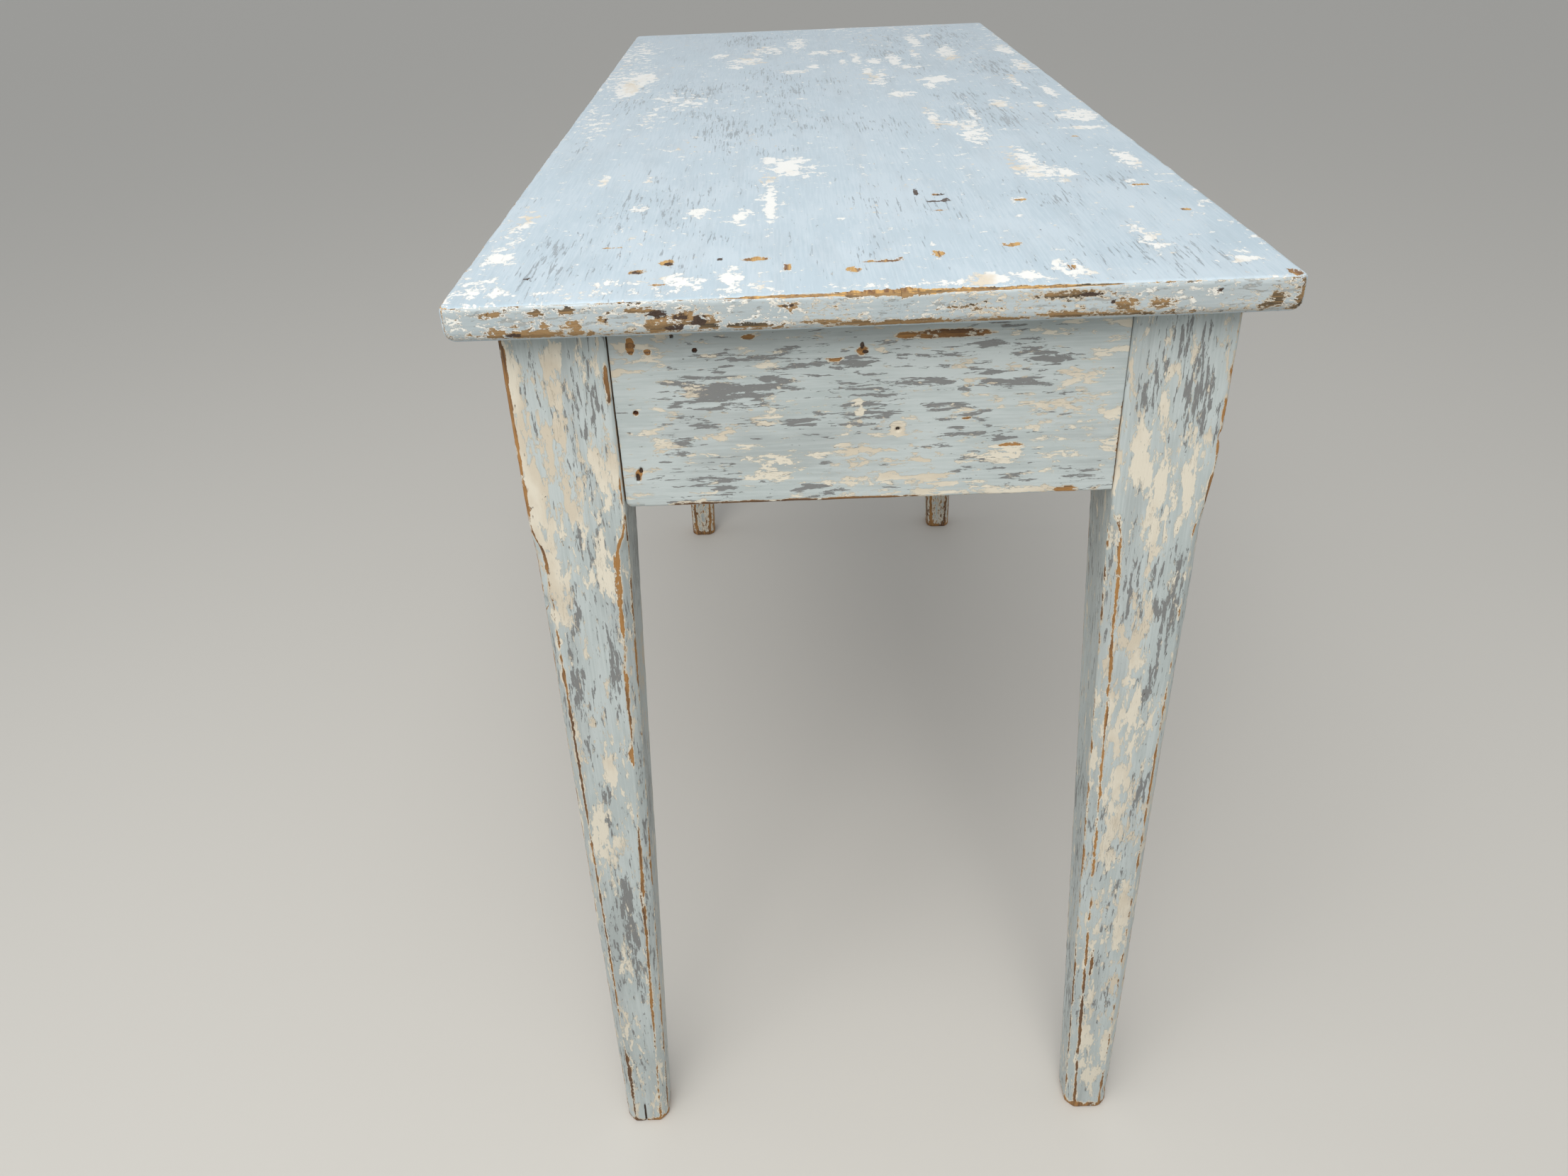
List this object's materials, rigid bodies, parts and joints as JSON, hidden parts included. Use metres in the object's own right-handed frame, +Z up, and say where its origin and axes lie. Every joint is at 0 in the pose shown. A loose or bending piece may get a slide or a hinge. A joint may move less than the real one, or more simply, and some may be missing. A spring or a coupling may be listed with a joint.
{
  "type": "potting bench",
  "caption": "Old painted wooden work table: two-board top, tapered legs with stopped chamfers, and mortised aprons with corner blocks and cleats inside.",
  "frame": {"origin": "on the floor under the middle of the top", "axes": "+Z up, +Y along the length from the near end to the far end, +X across the table to the right as seen from the near end"},
  "size_m": [0.49, 1.2, 0.78],
  "materials": {
    "painted_top": "worn pale blue-grey paint",
    "painted_frame": "flaking pale blue-grey paint over grey and cream",
    "bare_wood": "aged bare pine",
    "rusty_steel": "rusted"
  },
  "bodies": {
    "root": {"left_top_board": "painted_top", "right_top_board": "painted_top", "top_dowels": "bare_wood", "near_left_leg": "painted_frame", "near_right_leg": "painted_frame", "far_left_leg": "painted_frame", "far_right_leg": "painted_frame", "near_end_apron": "painted_frame", "far_end_apron": "painted_frame", "left_side_apron": "painted_frame", "right_side_apron": "painted_frame", "near_left_corner_block": "bare_wood", "near_right_corner_block": "bare_wood", "far_left_corner_block": "bare_wood", "far_right_corner_block": "bare_wood", "near_end_cleat": "bare_wood", "far_end_cleat": "bare_wood", "near_left_cleat": "bare_wood", "far_left_cleat": "bare_wood", "near_right_cleat": "bare_wood", "far_right_cleat": "bare_wood", "cross_bearer": "bare_wood", "near_apron_nails": "rusty_steel", "far_apron_nails": "rusty_steel", "left_apron_nails": "rusty_steel", "right_apron_nails": "rusty_steel", "end_cleat_screws": "rusty_steel", "side_cleat_screws": "rusty_steel", "bearer_screws": "rusty_steel"}
  },
  "joints": []
}
